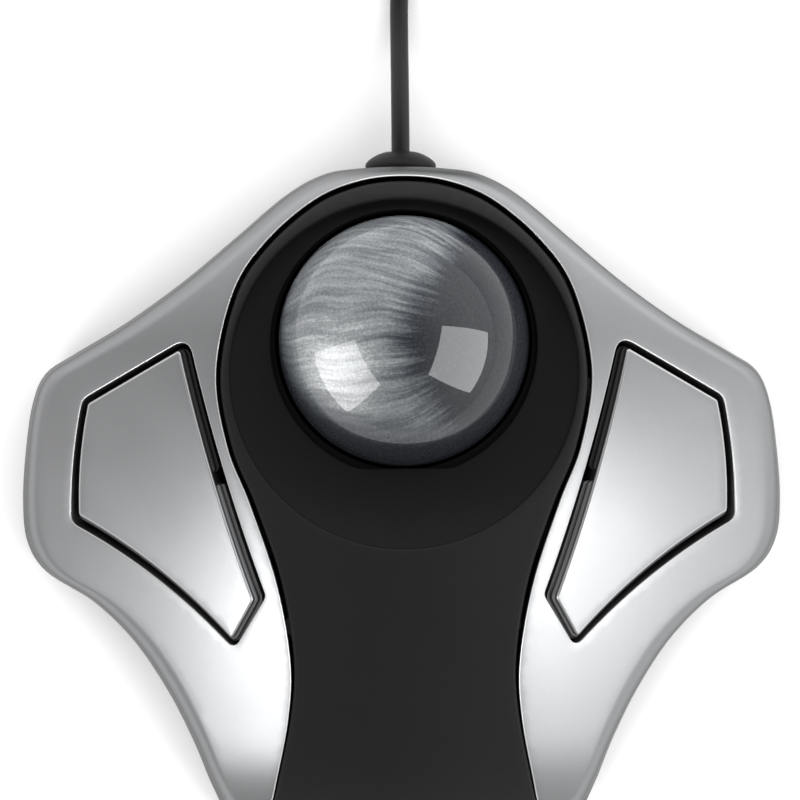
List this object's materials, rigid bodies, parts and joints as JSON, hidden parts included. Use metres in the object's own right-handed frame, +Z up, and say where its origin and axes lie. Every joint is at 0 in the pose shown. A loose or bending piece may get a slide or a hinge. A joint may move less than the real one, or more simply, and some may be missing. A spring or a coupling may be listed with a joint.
{
  "type": "trackball mouse",
  "caption": "Corded optical trackball for either hand: low two-wing silver body, dark centre cover with a thumb-high ball in a bowl, and large side buttons.",
  "frame": {"origin": "on the desk under the middle of the body's box, with the cord and its grommet left out", "axes": "+X to the right wing, +Y to the cord end, +Z up"},
  "size_m": [0.1337, 0.207, 0.048],
  "materials": {
    "silver": "satin metallic paint with a fine flake",
    "cover_black": "matte, fine grain",
    "ball": "clear-coated pearl grey",
    "base_black": "matte, fine grain",
    "socket_grey": "smooth matte",
    "bearing": "polished ceramic",
    "steel": "zinc-plated",
    "board": "solder mask",
    "chip": "moulded package",
    "lens": "clear",
    "led": "clear red",
    "can": "nickel",
    "tan_part": "ceramic body",
    "white_plastic": "smooth",
    "red_plastic": "smooth",
    "foot_rubber": "matte",
    "cord_jacket": "satin jacket",
    "grommet_rubber": "matte",
    "tie": "smooth band",
    "plug_metal": "nickel-plated",
    "gold": "gold-plated"
  },
  "bodies": {
    "body": {"base_shell": "base_black", "top_shell": "silver", "centre_cover": "cover_black", "hinge_pins": "steel", "ball_socket": "socket_grey", "support_bearings": "bearing", "socket_screws": "steel", "main_board": "board", "board_screws": "steel", "sensor_board": "board", "sensor_chip": "chip", "sensor_lens": "lens", "sensor_led": "led", "controller_chip": "chip", "crystal": "can", "board_parts": "tan_part", "capacitors": "chip", "cable_connector": "white_plastic", "switch_left": "chip", "switch_right": "chip", "feet": "foot_rubber", "case_screws": "steel", "inner_lead": "cord_jacket", "grommet": "grommet_rubber", "cord_tube": "cord_jacket", "cord_coil": "cord_jacket", "cord_tie": "tie", "usb_overmould": "cord_jacket", "usb_metal": "plug_metal", "usb_tongue": "white_plastic", "usb_contacts": "gold"},
    "left_button": {"left_button": "silver"},
    "right_button": {"right_button": "silver"},
    "ball": {"ball": "ball"},
    "plunger_left": {"plunger_left": "red_plastic"},
    "plunger_right": {"plunger_right": "red_plastic"}
  },
  "joints": [
    {"name": "left_press", "type": "hinge", "parent": "body", "child": "left_button", "pos_m": [-0.0296, -0.0126, 0.01855], "axis": [-0.8713, -0.3171, -0.3746], "range_deg": [0, 1.4], "stiffness_Nm_per_rad": 1, "springref_deg": -0.34},
    {"name": "right_press", "type": "hinge", "parent": "body", "child": "right_button", "pos_m": [0.0296, -0.0126, 0.01855], "axis": [-0.8713, 0.3171, 0.3746], "range_deg": [0, 1.4], "stiffness_Nm_per_rad": 1, "springref_deg": -0.34},
    {"name": "left_click", "type": "slide", "parent": "body", "child": "plunger_left", "axis": [0, 0, -1], "range_m": [0, 0.00065], "stiffness_N_per_m": 400, "springref_m": -0.0003},
    {"name": "right_click", "type": "slide", "parent": "body", "child": "plunger_right", "axis": [0, 0, -1], "range_m": [0, 0.00065], "stiffness_N_per_m": 400, "springref_m": -0.0003},
    {"name": "ball_turn", "type": "hinge", "parent": "body", "child": "ball", "pos_m": [0, 0.0282, 0.028], "axis": [1, 0, 0], "continuous": true}
  ],
  "couplings": [
    {"joint": "left_click", "follows": "left_press", "m_per_rad": 0.0241},
    {"joint": "right_click", "follows": "right_press", "m_per_rad": 0.0241}
  ]
}
